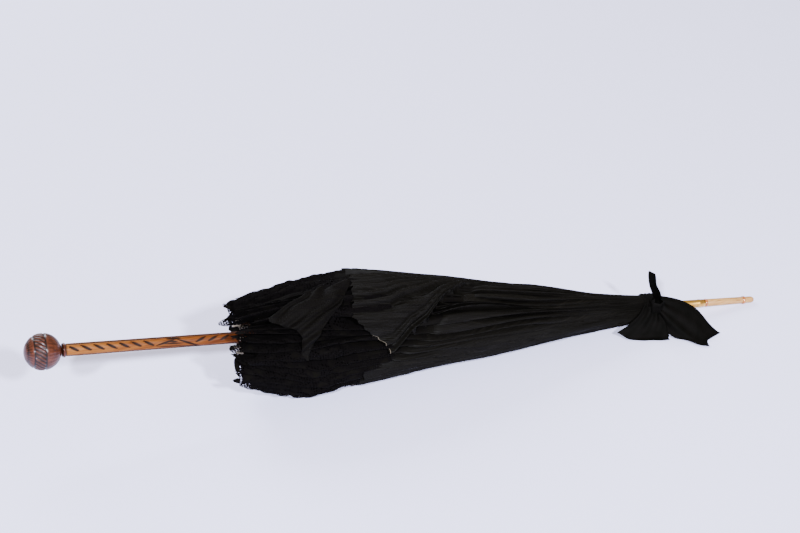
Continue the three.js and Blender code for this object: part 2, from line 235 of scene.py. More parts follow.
stick = turn("stick_turned", [
    (stick_front, 5), (stick_front, grip_radius - 0.3), (stick_front + 0.4, grip_radius),
    (stick_front + grip_length, stick_radius),
], steps=96, cuts=255)
plain_part = turn("stick_tail", [
    (stick_front + grip_length, stick_radius), (-200, stick_radius), (0, stick_radius),
    (socket_start, stick_radius - 0.1), (socket_start + 0.3, spike_radius),
    (socket_start + spike_length, spike_radius), (socket_start + spike_length, 0),
], steps=96)
bpy.ops.object.select_all(action="DESELECT")
plain_part.select_set(True)
stick.select_set(True)
bpy.context.view_layer.objects.active = stick
bpy.ops.object.join()
bpy.ops.object.mode_set(mode="EDIT")
bpy.ops.mesh.select_all(action="SELECT")
bpy.ops.mesh.remove_doubles(threshold=0.01)
bpy.ops.mesh.normals_make_consistent(inside=False)
bpy.ops.object.mode_set(mode="OBJECT")
carve(stick, stick_cut)

# Varnished limewood, turned and burnt: honey gold, warmer and darker towards the cover, satin shine
limewood, limewood_shader = new_material(
    "varnished_limewood_burnt", Roughness=0.5, Specular_IOR_Level=0.08,
    Coat_Weight=0.02, Coat_Roughness=0.4)
wood_place = add_node(limewood, "ShaderNodeTexCoord").outputs["Object"]
grain_axes = add_node(limewood, "ShaderNodeMapping", {
    "Rotation": (0, -math.asin(-along.z), 0), "Scale": (14, 260, 260)}, {"Vector": wood_place})
grain = add_node(limewood, "ShaderNodeTexNoise", {
    "Scale": 2.2, "Detail": 5, "Roughness": 0.62}, {"Vector": grain_axes.outputs["Vector"]})
split_place = add_node(limewood, "ShaderNodeSeparateXYZ", links={"Vector": wood_place})
warmth = add_node(limewood, "ShaderNodeMapRange", {
    "From Min": -0.41, "From Max": -0.20, "To Min": 0.0, "To Max": 0.5}, {
    "Value": split_place.outputs["X"]})
mixed_grain = add_node(limewood, "ShaderNodeMath", links={
    0: grain.outputs["Fac"], 1: warmth.outputs["Result"]}, operation="ADD")
wood_colour = ramp(limewood, mixed_grain.outputs["Value"], [
    (0.3, "7a5026"), (0.55, "6b3f16"), (0.8, "562c0a"), (1.0, "3e1a04")])
burn_mark = add_node(limewood, "ShaderNodeAttribute", attribute_name="burn_and_painted_shade")
burn_edge = ramp(limewood, burn_mark.outputs["Fac"], [(0.12, "000000"), (0.6, "ffffff")])
burnt = add_node(limewood, "ShaderNodeMixRGB", {"Color2": linear("140601")}, {
    "Fac": burn_edge, "Color1": wood_colour})
join(limewood, burnt.outputs["Color"], limewood_shader.inputs["Base Color"])
wood_gloss = add_node(limewood, "ShaderNodeMapRange", {"To Min": 0.48, "To Max": 0.66}, {
    "Value": burn_mark.outputs["Fac"]})
join(limewood, wood_gloss.outputs["Result"], limewood_shader.inputs["Roughness"])
wood_bump = add_node(limewood, "ShaderNodeBump", {"Strength": 0.25, "Distance": 0.0002}, {
    "Height": grain.outputs["Fac"]})
join(limewood, wood_bump.outputs["Normal"], limewood_shader.inputs["Normal"])
coat(stick, limewood)
fit_to_stick(stick, "root", "stick_wood", "stick")

# ---------------------------------------------------------------- knob and collar
# A carved and polished fruitwood ball: a cap and a back half with fine rays, and a belt of
# slanting flutes between two turned grooves. A beaded collar covers its joint with the stick.

knob_pole, knob_diameter = -745, 41
knob_radius = knob_diameter / 2
knob_middle = knob_pole + knob_radius
flute_count, ray_count = 26, 30
groove_places = (-0.50, 0.08)
groove_depth, flute_depth, ray_depth, ring_depth = 0.9, 1.2, 0.35, 0.3

ball_steps = 26
ball = [(knob_middle - knob_radius * math.cos(math.pi * i / ball_steps),
         knob_radius * math.sin(math.pi * i / ball_steps)) for i in range(ball_steps)]
ball[0] = (knob_pole, 0)
knob = turn("knob_carved", ball + [(knob_pole + knob_diameter, 6.5), (knob_pole + knob_diameter, 5.3)],
            steps=176, cuts=3)


def knob_cut(x, angle, radius):
    """Rays on the cap and the back, slanting flutes on the belt, a groove at each side of it."""
    place_along = (x - knob_middle) / knob_radius
    groove = sum(ridge(place_along - at, 0.045) for at in groove_places)
    on_belt = np.clip((place_along - groove_places[0]) * 14, 0, 1)
    on_belt *= np.clip((groove_places[1] - place_along) * 14, 0, 1)
    slant = angle * flute_count - place_along * 18
    flute = (0.5 - 0.5 * np.cos(slant)) ** 1.6
    on_cap = np.clip((groove_places[0] - 0.04 - place_along) * 9, 0, 1)
    on_cap *= np.clip((radius - 3) / 5, 0, 1)
    ray = (0.5 - 0.5 * np.cos(angle * ray_count)) ** 5
    ring = ridge(place_along + 0.8, 0.05)
    on_back = np.clip((place_along - groove_places[1] - 0.08) * 9, 0, 1)
    depth = groove_depth * groove + flute_depth * flute * on_belt + ring_depth * ring
    depth += ray_depth * ray * (on_cap + 0.7 * on_back)
    # The cuts' colour is darkened by their depth: painted shade in the grooves, flutes and rays
    burn_and_painted_shade = groove + 0.95 * flute * on_belt + 0.8 * ray * (on_cap + 0.6 * on_back) + 0.6 * ring
    burn_and_painted_shade = np.clip(burn_and_painted_shade, 0, 1)
    return depth, np.maximum(burn_and_painted_shade, 0.2 * on_belt)


carve(knob, knob_cut)

# Polished fruitwood under shellac: reddish brown, a bright wet shine; painted shade makes it near black in
# the cuts
fruitwood, fruitwood_shader = new_material(
    "polished_fruitwood_carved", Roughness=0.5, Specular_IOR_Level=0.1,
    Coat_Weight=0.4, Coat_Roughness=0.06)
knob_place = add_node(fruitwood, "ShaderNodeTexCoord").outputs["Object"]
knob_axes = add_node(fruitwood, "ShaderNodeMapping", {"Scale": (60, 240, 160)}, {"Vector": knob_place})
knob_grain = add_node(fruitwood, "ShaderNodeTexNoise", {"Scale": 1.6, "Detail": 4}, {
    "Vector": knob_axes.outputs["Vector"]})
knob_colour = ramp(fruitwood, knob_grain.outputs["Fac"], [
    (0.3, "4c2414"), (0.55, "38180a"), (0.75, "240c04")])
# Painted shade: the carved cuts are mixed towards near black by their depth
knob_cut_shade = add_node(fruitwood, "ShaderNodeAttribute", attribute_name="burn_and_painted_shade")
knob_cut_shade_ramp = ramp(fruitwood, knob_cut_shade.outputs["Fac"], [(0.05, "000000"), (0.4, "9a9a9a"), (0.85, "ffffff")])
knob_painted_shade_mix = add_node(fruitwood, "ShaderNodeMixRGB", {"Color2": linear("060201")}, {
    "Fac": knob_cut_shade_ramp, "Color1": knob_colour})
join(fruitwood, knob_painted_shade_mix.outputs["Color"], fruitwood_shader.inputs["Base Color"])
knob_bump = add_node(fruitwood, "ShaderNodeBump", {"Strength": 0.15, "Distance": 0.0003}, {
    "Height": knob_grain.outputs["Fac"]})
join(fruitwood, knob_bump.outputs["Normal"], fruitwood_shader.inputs["Normal"])
coat(knob, fruitwood)
fit_to_stick(knob, "root", "knob_wood", "knob")

collar_start = knob_pole + knob_diameter + 0.3
collar = turn("knob_collar_beaded", [
    (collar_start, 5.3), (collar_start, 6.9), (collar_start + 0.5, 7.6), (collar_start + 1.0, 7.2),
    (collar_start + 1.5, 8.0), (collar_start + 2.2, 8.2), (collar_start + 2.7, 7.7),
    (collar_start + 3.1, 7.9), (collar_start + 3.7, 7.4), (collar_start + 4.0, 6.8),
    (collar_start + 4.0, 5.3),
], steps=72)
carve(collar, lambda x, angle, radius: (
    0 * x, np.clip(ridge(x - collar_start - 0.6, 0.6) + ridge(x - collar_start - 3.5, 0.6), 0, 1)))
coat(collar, fruitwood)
fit_to_stick(collar, "root", "knob_wood", "knob_collar")

# ---------------------------------------------------------------- ferrule
# A tapered brass socket, a slim polished bone tube between two horn rings, and a bone tip.
# All are threaded on the stick's spike and cemented.

ring_inner = socket_start + 54.3
bone_start = ring_inner + 3.0
ring_outer = bone_start + 51.0
tip_start = ring_outer + 3.0
tip_end = tip_start + 12.7

socket = turn("ferrule_socket_turned", [
    (socket_start, 3.3), (socket_start, 6.3), (socket_start + 0.6, 6.5), (socket_start + 3, 6.4),
    (socket_start + 4, 6.0), (socket_start + 12, 5.0), (socket_start + 44, 4.75), (socket_start + 45, 5.1),
    (socket_start + 46.5, 5.1), (socket_start + 47.5, 4.75), (socket_start + 53.4, 4.7),
    (socket_start + 53.9, 4.4), (socket_start + 53.9, 3.3),
], steps=72)
rings = [turn(name, [
    (x, 3.3), (x, 4.5), (x + 0.4, 4.95), (x + 1.0, 5.1), (x + 1.8, 5.1), (x + 2.3, 4.95),
    (x + 2.7, 4.5), (x + 2.7, 3.3),
], steps=72) for name, x in (
    ("ferrule_ring_inner_turned", ring_inner), ("ferrule_ring_outer_turned", ring_outer))]
bone_tube = turn("ferrule_tube_turned", [
    (bone_start, 3.3), (bone_start, 4.3), (bone_start + 0.5, 4.6), (bone_start + 25, 4.45),
    (bone_start + 50.2, 4.2), (bone_start + 50.7, 3.9), (bone_start + 50.7, 3.3),
], steps=72)
bone_tip = turn("ferrule_tip_turned", [
    (tip_start, 0), (tip_start, 3.7), (tip_start + 0.4, 4.0), (tip_start + 8.7, 4.0),
    (tip_start + 10.4, 3.7), (tip_start + 11.8, 3.1), (tip_end - 0.2, 2.5), (tip_end, 2.0), (tip_end, 0),
], steps=72)

# Lacquered brass, spun: soft gold with faint turning lines and duller patches where it is handled
brass, brass_shader = new_material("lacquered_brass_worn", Metallic=1.0, Roughness=0.3)
brass_place = add_node(brass, "ShaderNodeTexCoord").outputs["Object"]
brass_wear = add_node(brass, "ShaderNodeTexNoise", {"Scale": 190, "Detail": 5}, {"Vector": brass_place})
brass_colour = ramp(brass, brass_wear.outputs["Fac"], [(0.35, "d9b262"), (0.6, "c2913f"), (0.75, "8c6226")])
join(brass, brass_colour, brass_shader.inputs["Base Color"])
brass_gloss = add_node(brass, "ShaderNodeMapRange", {"To Min": 0.2, "To Max": 0.5}, {
    "Value": brass_wear.outputs["Fac"]})
join(brass, brass_gloss.outputs["Result"], brass_shader.inputs["Roughness"])

# Polished bone: warm ivory with fine brown pores drawn out along the tube
bone, bone_shader = new_material(
    "polished_bone", Roughness=0.4, Specular_IOR_Level=0.25, Subsurface_Weight=0.15, Subsurface_Scale=0.002)
bone_place = add_node(bone, "ShaderNodeTexCoord").outputs["Object"]
pore_axes = add_node(bone, "ShaderNodeMapping", {"Scale": (90, 900, 900)}, {"Vector": bone_place})
pores = add_node(bone, "ShaderNodeTexNoise", {"Scale": 1, "Detail": 4}, {
    "Vector": pore_axes.outputs["Vector"]})
bone_colour = ramp(bone, pores.outputs["Fac"], [(0.25, "7a5226"), (0.45, "9c7442"), (0.7, "b08a54")])
join(bone, bone_colour, bone_shader.inputs["Base Color"])

# Polished horn: orange brown, clouded, with a deep shine
horn, horn_shader = new_material("polished_horn", Roughness=0.25, Coat_Weight=0.5, Coat_Roughness=0.1)
horn_place = add_node(horn, "ShaderNodeTexCoord").outputs["Object"]
clouds = add_node(horn, "ShaderNodeTexNoise", {"Scale": 320, "Detail": 3}, {"Vector": horn_place})
horn_colour = ramp(horn, clouds.outputs["Fac"], [(0.3, "b0682c"), (0.7, "6e3314")])
join(horn, horn_colour, horn_shader.inputs["Base Color"])

for piece, material, slot, node in (
    (socket, brass, "brass", "ferrule_socket"), (rings[0], horn, "horn", "ferrule_ring_inner"),
    (rings[1], horn, "horn", "ferrule_ring_outer"), (bone_tube, bone, "bone", "ferrule_tube"),
    (bone_tip, bone, "bone", "ferrule_tip"),
):
    coat(piece, material)
    fit_to_stick(piece, "root", slot, node)

# ---------------------------------------------------------------- frame
# Blackened cane ribs with pale tips, drawn steel stretchers, and the brass notch and runner.
# They are the CAD pieces, with finishes of their own.

steel, steel_shader = new_material("drawn_steel_blued", Metallic=1.0, Roughness=0.35)
steel_place = add_node(steel, "ShaderNodeTexCoord").outputs["Object"]
steel_marks = add_node(steel, "ShaderNodeTexNoise", {"Scale": 400, "Detail": 4}, {"Vector": steel_place})
steel_colour = ramp(steel, steel_marks.outputs["Fac"], [(0.35, "8b8e92"), (0.65, "5c5e61")])
join(steel, steel_colour, steel_shader.inputs["Base Color"])
steel_gloss = add_node(steel, "ShaderNodeMapRange", {"To Min": 0.25, "To Max": 0.5}, {
    "Value": steel_marks.outputs["Fac"]})
join(steel, steel_gloss.outputs["Result"], steel_shader.inputs["Roughness"])

cane, cane_shader = new_material("blackened_cane", Roughness=0.5)
cane_place = add_node(cane, "ShaderNodeTexCoord").outputs["Object"]
cane_fibre = add_node(cane, "ShaderNodeTexNoise", {"Scale": 240, "Detail": 5}, {"Vector": cane_place})
cane_colour = ramp(cane, cane_fibre.outputs["Fac"], [(0.35, "4a3626"), (0.65, "261910")])
join(cane, cane_colour, cane_shader.inputs["Base Color"])

# Pale horn of the rib tips, grey and dull
tip_horn, tip_horn_shader = new_material("pale_horn_tips", Roughness=0.45, Specular_IOR_Level=0.3)
tip_place = add_node(tip_horn, "ShaderNodeTexCoord").outputs["Object"]
tip_clouds = add_node(tip_horn, "ShaderNodeTexNoise", {"Scale": 500, "Detail": 3}, {"Vector": tip_place})
join(tip_horn, ramp(tip_horn, tip_clouds.outputs["Fac"], [(0.3, "8f8578"), (0.7, "6f665a")]),
     tip_horn_shader.inputs["Base Color"])

finishes = {"top_notch": brass, "runner_tube": brass, "runner_crown": brass}
finishes.update({name: steel for name in ("notch_wire", "stop_pin", "lower_catch", "upper_catch")})
for k in range(1, rib_count + 1):
    finishes.update({f"rib_{k}": cane, f"rib_tip_{k}": tip_horn, f"stretcher_{k}": steel})
for name, material in finishes.items():
    coat(frame["nodes"][name], material)

# ---------------------------------------------------------------- gathered cloth
# The cover is cut in eight gores and gathered to a slim neck. The measured outline gives the
# radius of the closed cover at stations from the hinge, on its upper and on its lower side.

rib_length, rib_bow, rib_gather = 509, 18, 17
hinge_radius = (hinge_places[0] - hinge).length / mm
rib_step = 2 * math.pi / rib_count
rib_slope = math.asin((rib_gather - hinge_radius) / rib_length)
gore_apex = 14
open_turn = math.radians(72)
gore_spread = 2 * math.sin(open_turn) * math.sin(rib_step / 2)
upper_side = math.radians(62)
outline = np.array([
    (-10, 14, 18), (24, 16.5, 21), (60, 21.5, 25.5), (100, 28.5, 30.5), (150, 37.5, 36.5),
    (200, 46, 44.5), (255, 54.5, 51), (280, 58, 54.5), (305, 62, 58), (330, 66, 61.5),
    (352, 68, 63.5), (378, 69, 66), (400, 66, 70), (425, 63, 77), (445, 60, 75),
    (470, 53, 68), (490, 49, 64), (515, 41, 58), (560, 35, 54),
])


def place(x, angle, radius):
    """Row-frame points, one per row, for arrays of stations, angles (radians) and radii."""
    local = np.stack(np.broadcast_arrays(x, radius * np.cos(angle), radius * np.sin(angle)), -1)
    matrix = np.array(stick_matrix)
    return local @ matrix[:3, :3].T + matrix[:3, 3]


def smooth(t):
    t = np.clip(t, 0, 1)
    return t * t * (3 - 2 * t)


def rib_radius(x):
    distance = np.clip(-x, 0, rib_length)
    t = distance / rib_length
    return hinge_radius + distance * math.sin(rib_slope) + 4 * rib_bow * t * (1 - t)


def bundle_radius(x, angle):
    """The closed cover's outer radius, from the outline's stations eased over 16 mm."""
    upper = sum(np.interp(-x + shift, outline[:, 0], outline[:, 1]) for shift in (-8, 0, 8)) / 3
    lower = sum(np.interp(-x + shift, outline[:, 0], outline[:, 2]) for shift in (-8, 0, 8)) / 3
    return lower + (upper - lower) * (0.5 + 0.5 * np.cos(angle - upper_side))


def swell(seed, slowest, fastest, short, long):
    """A seeded smooth field round and along the bundle, about -1 to 1, that closes on itself."""
    random = np.random.RandomState(seed)
    parts = [(random.randint(slowest, fastest + 1), 2 * math.pi / random.uniform(short, long)
              * random.choice((-1, 1)), random.uniform(0, 2 * math.pi)) for _ in range(7)]
    return lambda x, angle: sum(np.sin(m * angle + n * x + h) for m, n, h in parts) / 2.8


def settle(points, clear=0.4, ease=7.0):
    """Cloth that would pass through the floor lies flat on it instead."""
    z = points[..., 2] / mm
    pressed = np.where(z < ease, ease * np.exp(np.clip((z - ease) / ease, -40, 0)), z)
    points[..., 2] = (np.maximum(pressed, 0) + clear) * mm
    return points


def cloth_mesh(name, points, weave, keep=None):
    """A sheet from a grid of points, with its place in the flat weave in metres as its UV map."""
    rows, columns = points.shape[:2]
    index = np.arange(rows * columns).reshape(rows, columns)
    quads = np.stack([index[:-1, :-1], index[1:, :-1], index[1:, 1:], index[:-1, 1:]], -1).reshape(-1, 4)
    if keep is not None:
        quads = quads[keep.ravel()]
    used = np.unique(quads)
    renumber = np.zeros(rows * columns, int)
    renumber[used] = np.arange(len(used))
    data = bpy.data.meshes.new(name)
    data.from_pydata(points.reshape(-1, 3)[used].tolist(), [], renumber[quads].tolist())
    corners = np.zeros(len(data.loops), int)
    data.loops.foreach_get("vertex_index", corners)
    layer = data.uv_layers.new(name="weave")
    layer.data.foreach_set("uv", weave.reshape(-1, 2)[used][corners].ravel())
    data.polygons.foreach_set("use_smooth", np.ones(len(data.polygons), bool))
    piece = bpy.data.objects.new(name, data)
    bpy.context.scene.collection.objects.link(piece)
    return piece, used


def follow_ribs(piece, k):
    """Bakes the piece's placement into its mesh; the cloth does not turn with the ribs, and the two places
    worked out at the gore's edges are not used.
    """
    first, last = (place(-200, rib_step * (k + side), 40) for side in (-0.5, 0.5))
    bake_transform(piece)


pleats = 5
fold_size, fold_lean = swell(3, 9, 26, 160, 420), swell(4, 3, 9, 220, 500)
lump, crinkle = swell(5, 2, 7, 130, 320), swell(6, 150, 330, 60, 260)


def gather(k, x, across, slack):
    """Angle and radius of gore k, gathered in folds that lean over one another like tiles.

    slack is the share of the cut's width that goes into the folds."""
    random = np.random.RandomState(40 + k)
    drift = sum(
        random.uniform(0.3, 0.6) / i
        * np.sin(2 * math.pi * (i * across + x / random.uniform(300, 700)) + random.uniform(0, 2 * math.pi))
        for i in (1, 2, 3))
    phase = 2 * math.pi * (pleats * across + 2.6 * across * (1 - across) * drift)
    angle = rib_step * (k - 0.5 + across)
    outer = bundle_radius(x, angle)
    cut_width = gore_spread * (gore_apex - x) * slack
    pitch = rib_step / pleats
    depth = np.sqrt(np.maximum((cut_width / (2 * pleats)) ** 2 - (pitch * outer / 2) ** 2, 0.3))
    depth = np.minimum(depth * (0.74 + 0.42 * fold_size(x, angle)), outer - rib_radius(x) - 3)
    valley = (0.5 + 0.5 * np.cos(phase)) ** 1.5
    radius = outer - depth * valley + 1.6 * lump(x, angle) * smooth(-x / 120)
    lean = pitch * (1 - valley) * (0.75 + 0.65 * fold_lean(x, angle)) * smooth(-x / 90)
    return angle + lean, radius


def cut_weave(x, across):
    """Where each point lies in the flat cut, in metres from the gore's apex."""
    distance = gore_apex - x
    return np.stack([(across - 0.5) * gore_spread * distance * mm, distance * mm + 0 * across], -1)


# ---------------------------------------------------------------- under-cover
# Plain black silk, opaque, sewn along the ribs and reaching almost to their tips. It is
# gathered in the same folds as the chiffon over it.

cover_begin, cover_end = 2, -496

# Plain-weave silk: soft black, a low even sheen; its 0.3 mm threads are drawn 2.9 mm apart to show
silk, silk_shader = new_material(
    "plain_weave_silk", Roughness=0.7, Specular_IOR_Level=0.03)
silk_weave = add_node(silk, "ShaderNodeUVMap", uv_map="weave").outputs["UV"]
warp, weft = (add_node(silk, "ShaderNodeTexWave", {"Scale": 110, "Distortion": 0.6, "Detail": 2}, {
    "Vector": silk_weave}, bands_direction=way) for way in "XY")
threads = add_node(silk, "ShaderNodeMath", links={0: warp.outputs["Fac"], 1: weft.outputs["Fac"]},
                   operation="MULTIPLY")
slub = add_node(silk, "ShaderNodeTexNoise", {"Scale": 60, "Detail": 3}, {"Vector": silk_weave})
join(silk, ramp(silk, slub.outputs["Fac"], [(0.3, "040303"), (0.7, "070604")]),
     silk_shader.inputs["Base Color"])
silk_bump = add_node(silk, "ShaderNodeBump", {"Strength": 0.3, "Distance": 0.0004}, {
    "Height": threads.outputs["Value"]})
join(silk, silk_bump.outputs["Normal"], silk_shader.inputs["Normal"])

for k in range(1, rib_count + 1):
    across = np.linspace(0, 1, 141)[None, :]
    x = cover_begin + (cover_end - cover_begin) * np.linspace(0, 1, 90)[:, None] + 0 * across
    angle, radius = gather(k, x, across, 1.05)
    tuck = 4.5 + 5 * smooth((-x - 385) / 40)
    foot = rib_radius(x) + 1.9
    climb = smooth(across / 0.05) * smooth((1 - across) / 0.05)
    radius = foot + (np.maximum(radius - tuck, foot) - foot) * climb
    piece, used = cloth_mesh(f"under_cover_{k}", settle(place(x, angle, radius), 1.8), cut_weave(x, across))
    coat(piece, silk)
    follow_ribs(piece, k)
    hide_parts(f"gore_{k}")

# ---------------------------------------------------------------- chiffon overlay
# Crinkled silk chiffon over the under-cover, hemmed above the lace. On the near side its upper
# part has slipped down in one broad fold that overlaps the rest.

chiffon_begin = 7
hem_line = np.array([
    (-40, -371), (62, -378), (86, -379), (117, -385), (140, -391), (155, -374), (162, -361), (172, -348),
    (177, -345), (190, -362), (206, -371), (240, -371), (400, -378)])
slip_line = np.array([
    (200, 74), (228, 86), (272, 116), (299, 143), (321, 156), (341, 175), (362, 181), (395, 184)])
slip_top, slip_pleats = 74, 8
thread_gore = 4

# Crinkled silk chiffon: warm black with a faint gleam along its fine lengthwise crinkles, from a lower
# roughness there and from a painted highlight that lightens their crests, and a pale thread showing along a
# part of the hem
chiffon, chiffon_shader = new_material(
    "crinkled_silk_chiffon", Roughness=0.55, Specular_IOR_Level=0.05)
chiffon_weave = add_node(chiffon, "ShaderNodeUVMap", uv_map="weave").outputs["UV"]
crinkle_axes = add_node(chiffon, "ShaderNodeMapping", {"Scale": (420, 26, 1)}, {"Vector": chiffon_weave})
creases = add_node(chiffon, "ShaderNodeTexNoise", {"Scale": 1, "Detail": 5, "Roughness": 0.6}, {
    "Vector": crinkle_axes.outputs["Vector"]}).outputs["Fac"]
# Painted highlight: the colour is lighter where the crinkles stand highest
chiffon_black_painted_gleam = ramp(chiffon, creases, [(0.3, "050403"), (0.55, "080705"), (0.75, "110f0c")])
thread_mark = add_node(chiffon, "ShaderNodeAttribute", attribute_name="thread").outputs["Fac"]
threaded = add_node(chiffon, "ShaderNodeMixRGB", {"Color2": linear("5a5347")}, {
    "Fac": thread_mark, "Color1": chiffon_black_painted_gleam})
join(chiffon, threaded.outputs["Color"], chiffon_shader.inputs["Base Color"])
chiffon_gloss = add_node(chiffon, "ShaderNodeMapRange", {"To Min": 0.66, "To Max": 0.46}, {
    "Value": creases})
join(chiffon, chiffon_gloss.outputs["Result"], chiffon_shader.inputs["Roughness"])
chiffon_bump = add_node(chiffon, "ShaderNodeBump", {"Strength": 0.5, "Distance": 0.0008}, {
    "Height": creases})
join(chiffon, chiffon_bump.outputs["Normal"], chiffon_shader.inputs["Normal"])


def chiffon_place(k, x, across):
    """Angle and radius of the chiffon on gore k, with the slipped fold laid over its pleats."""
    angle, radius = gather(k, x, across, 0.98)
    degrees = np.degrees(rib_step * (k - 0.5 + across))
    edge = np.interp(-x, slip_line[:, 0], slip_line[:, 1])
    share = (degrees - slip_top) / np.maximum(edge - slip_top, 4)
    near = smooth((-x - 205) / 50)
    over = near * smooth((edge - degrees) / 2.0 + 0.5) * smooth((degrees - slip_top) / 14)
    fan_turn = slip_pleats * share + 0.7 * np.sin(2 * math.pi * (1.3 * share + x / 900))
    fan = (0.5 + 0.5 * np.cos(2 * math.pi * fan_turn)) ** 1.6
    fan_depth = 5.2 + 3.0 * np.sin(2 * math.pi * (2.3 * share - x / 330))
    laid = bundle_radius(x, angle) + 0.8 + 2.6 * smooth(share) - near * fan_depth * fan
    laid += 0.2 * np.sin(2 * math.pi * 31 * share) * near
    pocket = 10 * near * np.exp(-((degrees - edge - 8) / 9) ** 2) * (degrees > edge - 1)
    radius = radius - np.minimum(pocket, np.maximum(radius - rib_radius(x) - 9, 0))
    radius = radius + (laid - radius) * over
    flat_angle = rib_step * (k - 0.5 + across)
    roll = np.radians(3.2) * over * np.exp(-((degrees - edge + 2.5) / 3.5) ** 2)
    angle = angle + (flat_angle - angle) * over + roll
    return angle, radius + 0.35 * crinkle(x, angle)


for k in range(1, rib_count + 1):
    columns, rows = (211, 330) if k in (2, 3, 4) else (181, 110)
    across = np.linspace(0, 1, columns)[None, :]
    degrees = np.degrees(rib_step * (k - 0.5 + across))
    hem = np.interp(degrees, hem_line[:, 0], hem_line[:, 1]) + 1.2 * np.sin(np.radians(degrees) * 61)
    x = chiffon_begin + (hem - chiffon_begin) * np.linspace(0, 1, rows)[:, None]
    angle, radius = chiffon_place(k, x, across)
    piece, used = cloth_mesh(f"chiffon_{k}", settle(place(x, angle, radius), 0.5), cut_weave(x, across))
    coat(piece, chiffon)
    follow_ribs(piece, k)
    if k == thread_gore:
        stitched = smooth((across - 0.01) / 0.02) * smooth((0.41 - across) / 0.03)
        stitched = stitched * (np.arange(rows)[:, None] == rows - 1)
        thread = piece.data.attributes.new("thread", "FLOAT", "POINT")
        thread.data.foreach_set("value", stitched.ravel()[used].astype(np.float32))

# ---------------------------------------------------------------- lace flounce
# A deep flounce of machine lace on net, gathered under the chiffon's hem. Its torn, scalloped
# edge runs past the rib tips.

lace_begin = -340
lace_flatten = 0.36
lace_end_line = np.array([
    (-40, -506), (40, -503), (62, -500), (80, -503), (100, -514), (140, -516), (185, -514), (205, -508),
    (225, -498), (240, -486), (262, -478), (300, -492), (400, -503)])
scallops, scallop_depth, tuft_depth = 4, 9, 13

# Black cotton lace: matt net with close-worked sprays; its 1.5 mm mesh is drawn at 3 mm to show
lace, lace_shader = new_material(
    "black_cotton_lace", Roughness=0.9, Specular_IOR_Level=0.03)
lace_weave = add_node(lace, "ShaderNodeUVMap", uv_map="weave").outputs["UV"]
net = add_node(lace, "ShaderNodeTexVoronoi", {"Scale": 330, "Randomness": 0.45}, {
    "Vector": lace_weave}, feature="DISTANCE_TO_EDGE")
net_thread = add_node(lace, "ShaderNodeMath", {1: 0.24}, {0: net.outputs["Distance"]},
                      operation="LESS_THAN")
sprays = add_node(lace, "ShaderNodeTexVoronoi", {"Scale": 62, "Randomness": 0.8}, {"Vector": lace_weave})
spray_bend = add_node(lace, "ShaderNodeTexNoise", {"Scale": 240, "Detail": 3}, {"Vector": lace_weave})
spray_part = add_node(lace, "ShaderNodeMath", {1: 0.9}, {0: spray_bend.outputs["Fac"]},
                      operation="MULTIPLY")
spray_shape = add_node(lace, "ShaderNodeMath", links={
    0: sprays.outputs["Distance"], 1: spray_part.outputs["Value"]}, operation="ADD")
spray_solid = add_node(lace, "ShaderNodeMath", {1: 0.9}, {0: spray_shape.outputs["Value"]},
                       operation="LESS_THAN")
thread_share = add_node(lace, "ShaderNodeMath", links={
    0: net_thread.outputs["Value"], 1: spray_solid.outputs["Value"]}, operation="MAXIMUM")
join(lace, thread_share.outputs["Value"], lace_shader.inputs["Alpha"])
join(lace, ramp(lace, spray_shape.outputs["Value"], [(0.5, "070604"), (0.9, "040303")]),
     lace_shader.inputs["Base Color"])
lace_bump = add_node(lace, "ShaderNodeBump", {"Strength": 0.7, "Distance": 0.0008}, {
    "Height": spray_shape.outputs["Value"]})
join(lace, lace_bump.outputs["Normal"], lace_shader.inputs["Normal"])

lace_crush, lace_pucker = swell(8, 6, 22, 40, 120), swell(10, 36, 80, 11, 26)
tuft = swell(9, 14, 50, 900, 1800)


def lace_place(k, x, across):
    """Angle and radius of the lace on gore k: under the chiffon at its top, crushed below it."""
    angle, radius = gather(k, x, across, 1.3)
    loose = smooth((-x - 372) / 35) * smooth(across / 0.08) * smooth((1 - across) / 0.08)
    plain = bundle_radius(x, angle) - 1.5
    radius = radius - 2.2 + (2.0 * lace_crush(x, angle) + 1.1 * lace_pucker(x, angle)) * loose
    radius = radius + (plain - radius) * lace_flatten * loose
    return angle, np.maximum(radius, rib_radius(x) + 4)


for k in range(1, rib_count + 1):
    across = np.linspace(0, 1, 181)[None, :]
    degrees = np.degrees(rib_step * (k - 0.5 + across))
    end = np.interp(degrees, lace_end_line[:, 0], lace_end_line[:, 1]) + 7
    end = end - scallop_depth * np.abs(np.sin(across * math.pi * scallops)) ** 0.7
    end = end - tuft_depth * tuft(0 * across, np.radians(degrees))
    x = lace_begin + (end - lace_begin) * np.linspace(0, 1, 110)[:, None]
    angle, radius = lace_place(k, x, across)
    spots = settle(place(x, angle, radius), 1.0)
    piece, used = cloth_mesh(f"lace_flounce_{k}", spots, cut_weave(x, across))
    coat(piece, lace)
    follow_ribs(piece, k)
    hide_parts(f"flounce_{k}")

# ---------------------------------------------------------------- fallen silk tongue
# A tongue of the silk lining that has come out over the lace, in one piece for each gore it
# lies on. Its pointed end is free.

tongue_far = np.array([
    (96, -392), (100, -411), (108, -437), (118, -461), (131, -484), (135, -484), (142, -471),
    (148, -455), (156, -450), (166, -452), (173, -452), (177, -446)])
tongue_near = np.array([
    (96, -380), (105, -386), (114, -393), (126, -401), (138, -416), (150, -428),
    (162, -438), (172, -444), (177, -444)])
tongue_from, tongue_to, tongue_radius = 97, 176.5, 62

